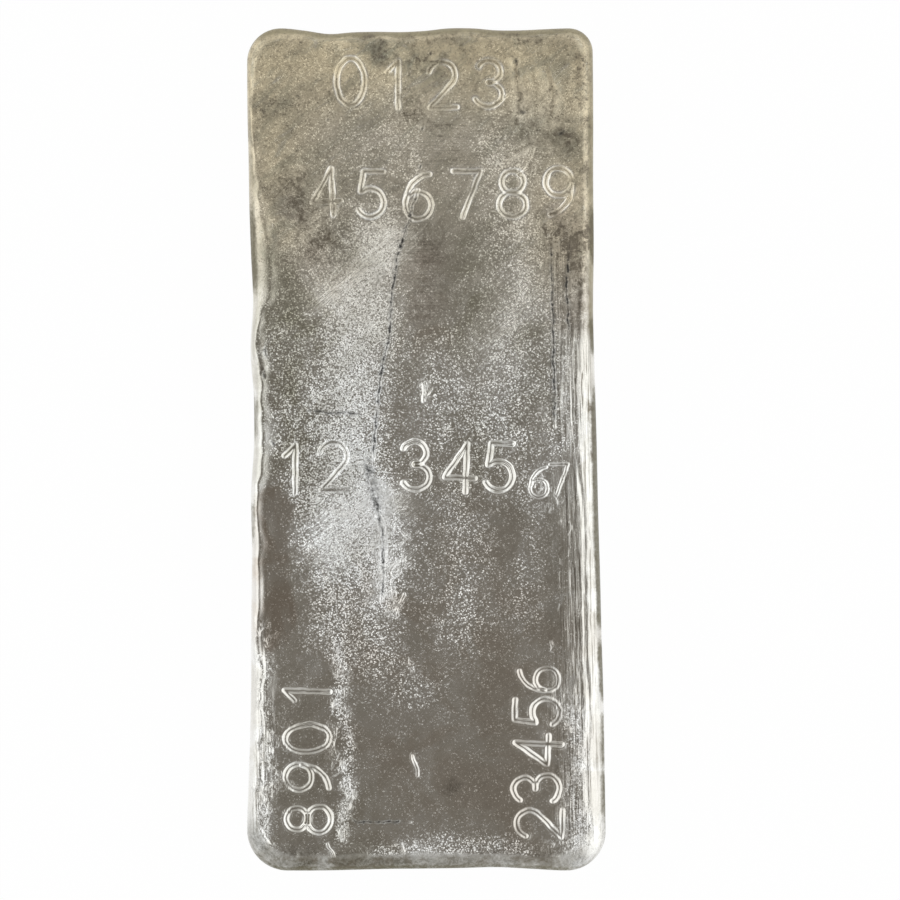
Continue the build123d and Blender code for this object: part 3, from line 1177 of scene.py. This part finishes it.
        # Painted shade in the gaps between crystals, where some cells are darkened.
        dirt_and_gap_shade = dirt_and_gap_shade + chance.ramp(0.14, 0.04) * tan * 0.22 + chance.ramp(0.22, 0.0) * frost * 0.3
        dirt_and_gap_shade = (dirt_and_gap_shade * (1.0 - 0.7 * worn)).at_most(0.95)
        mottled = 0.45 + 0.35 * patchy + 0.3 * speckle.ramp(0.40, 0.60)
        whitened = (frost * 0.9 + cloud.ramp(0.56, 0.40) * 0.4).at_most(0.9)
        colour = paint.blend(whitened, self.silver, self.cold)
        for share, coat in (
            (warm, self.oxide),
            ((grey * (1.0 - worn)).at_most(1.0), self.haze),
            (film * (0.25 + 0.5 * patchy), self.film),
            (wall, self.wall),
            (dull * 0.85, self.rim),
            # Grime and painted shade on the wide end's shoulder.
            ((grime * mottled).at_most(1.0), self.grime),
            # Dark rim: soot and a painted dark reflection.
            ((sooty * (0.55 + 0.6 * speckle)).at_most(1.0), self.soot_reflection_colour),
            # Dirt, and painted shade in the crystal gaps.
            (dirt_and_gap_shade, self.soil_and_shade),
            # Painted shadow inside the splits and pits, patchy.
            (torn * (0.5 + 0.5 * speckle.ramp(0.42, 0.52)), self.black),
        ):
            colour = paint.blend(share, colour, coat)
        rough = 0.12 + warm * 0.17 + fleck * 0.4 + sheen * 0.25 + stain * 0.15 + (cloud - 0.5) * 0.15
        rough = rough + wall * 0.28 + sooty * 0.25 + dull * 0.2 + grime * 0.2
        bare = (1.0 - 0.45 * warm - 0.9 * sooty - 0.5 * dull - 0.9 * grime).at_least(0.05)
        shader = paint.node("BsdfPrincipled", {
            "Base Color": colour,
            "Metallic": bare,
            "Roughness": rough,
            "Specular IOR Level": self.mirror,
            "Normal": bump.outputs["Normal"],
        })
        paint.node("OutputMaterial", {"Surface": shader.outputs["BSDF"]})
        return material


@dataclass
class Studio:
    """Plain pale floor, soft side light and the camera straight above."""

    floor_half: float = 6.0
    floor_grey: Colour = (0.9, 0.9, 0.9, 1.0)
    floor_rough: float = 0.9
    floor_glow: float = 0.98
    panel_place: Triple = (1.1, 0.0, 0.78)
    panel_size: Pair = (3.2, 1.2)
    panel_glow: float = 0.25
    panel_aim: Triple = (0.0, 0.0, 0.02)
    overhead: Colour = (0.195, 0.179, 0.156, 1.0)
    sides: Colour = (1.04, 1.05, 1.04, 1.0)
    eye_height: float = 2.2
    eye_range: float = 20.0
    focus: float = 0.4
    frame_width: float = 0.3203
    frame_shift: Pair = (0.0084, -0.0002)
    sensor: float = 36.0

    def floor(self) -> None:
        """Lays the floor."""
        mesh = bmesh.new()
        bmesh.ops.create_grid(mesh, x_segments=4, y_segments=4, size=self.floor_half)
        data = bpy.data.meshes.new("floor")
        mesh.to_mesh(data)
        mesh.free()
        material = bpy.data.materials.new("floor_white")
        paint = Paint(material)
        matte = paint.node("BsdfPrincipled", {"Base Color": self.floor_grey, "Roughness": self.floor_rough})
        rays = paint.node("LightPath", {})
        kinds = ("Camera", "Glossy", "Transmission")
        seen, glossy, through = (Value(paint, rays.outputs[f"Is {kind} Ray"]) for kind in kinds)
        share = seen.at_least(glossy).at_least(through) * self.floor_glow
        white = paint.node("Emission", {"Color": (1.0, 1.0, 1.0, 1.0), "Strength": 1.0})
        mixed = paint.node("MixShader", {0: share, 1: matte.outputs["BSDF"], 2: white.outputs[0]})
        paint.node("OutputMaterial", {"Surface": mixed.outputs[0]})
        data.materials.append(material)
        floor = placed("floor", data)

    def panel(self, name: str, place: Triple) -> None:
        """Hangs one soft panel that faces the bar.

        Args:
            name: The panel's name.
            place: Its middle.
        """
        data = bpy.data.lights.new(name, "AREA")
        data.shape = "RECTANGLE"
        data.size, data.size_y = self.panel_size
        data.energy = self.panel_glow * math.pi * self.panel_size[0] * self.panel_size[1]
        lamp = placed(name, data)
        lamp.location = place
        aim = Vector(self.panel_aim) - Vector(place)
        lamp.rotation_euler = aim.to_track_quat("-Z", "Y").to_euler()
        lamp.visible_camera = False

    def light(self) -> None:
        """Hangs the side panels in a room that is dim overhead and brightens towards both sides."""
        across, along, up = self.panel_place
        self.panel("left_panel", (-across, along, up))
        self.panel("right_panel", (across, along, up))
        room = bpy.data.worlds.new("room")
        paint = Paint(room)
        way = paint.node("TexCoord", {})
        parts = paint.node("SeparateXYZ", {"Vector": way.outputs["Generated"]})
        side, end = (Value(paint, parts.outputs[name]).maths("ABSOLUTE") for name in ("X", "Y"))
        share = side.ramp(0.06, 0.7) + 0.4 * end.ramp(0.1, 0.8)
        colour = paint.blend(share.at_most(1.0), self.overhead, self.sides)
        back = paint.node("Background", {"Color": colour, "Strength": 1.0})
        paint.node("OutputWorld", {"Surface": back.outputs[0]})
        bpy.context.scene.world = room

    def camera(self) -> None:
        """Puts the camera straight above, with the narrow end up in the picture."""
        data = bpy.data.cameras.new("above")
        data.sensor_width = self.sensor
        top = (CAD_BOX[0][2] + CAD_BOX[1][2]) / 2 + (CAD_BOX[1][2] - CAD_BOX[0][2]) * self.focus
        data.lens = self.sensor * (self.eye_height - top) / self.frame_width
        data.clip_end = self.eye_range
        eye = placed("above", data)
        eye.location = (*self.frame_shift, self.eye_height)
        bpy.context.scene.camera = eye


def main() -> None:
    """Builds the bar and the studio."""
    logging.basicConfig(level=logging.INFO, format="%(name)s %(message)s")
    bar = CastBar().build()
    bar.data.materials.append(CastSilver().material())
    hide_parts("silver_bar")
    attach(bar, "root")
    studio = Studio()
    studio.floor()
    studio.light()
    studio.camera()
    bpy.context.scene.view_settings.view_transform = "Standard"
    LOG.info("sizes kept")


if __name__ == "__main__":
    main()
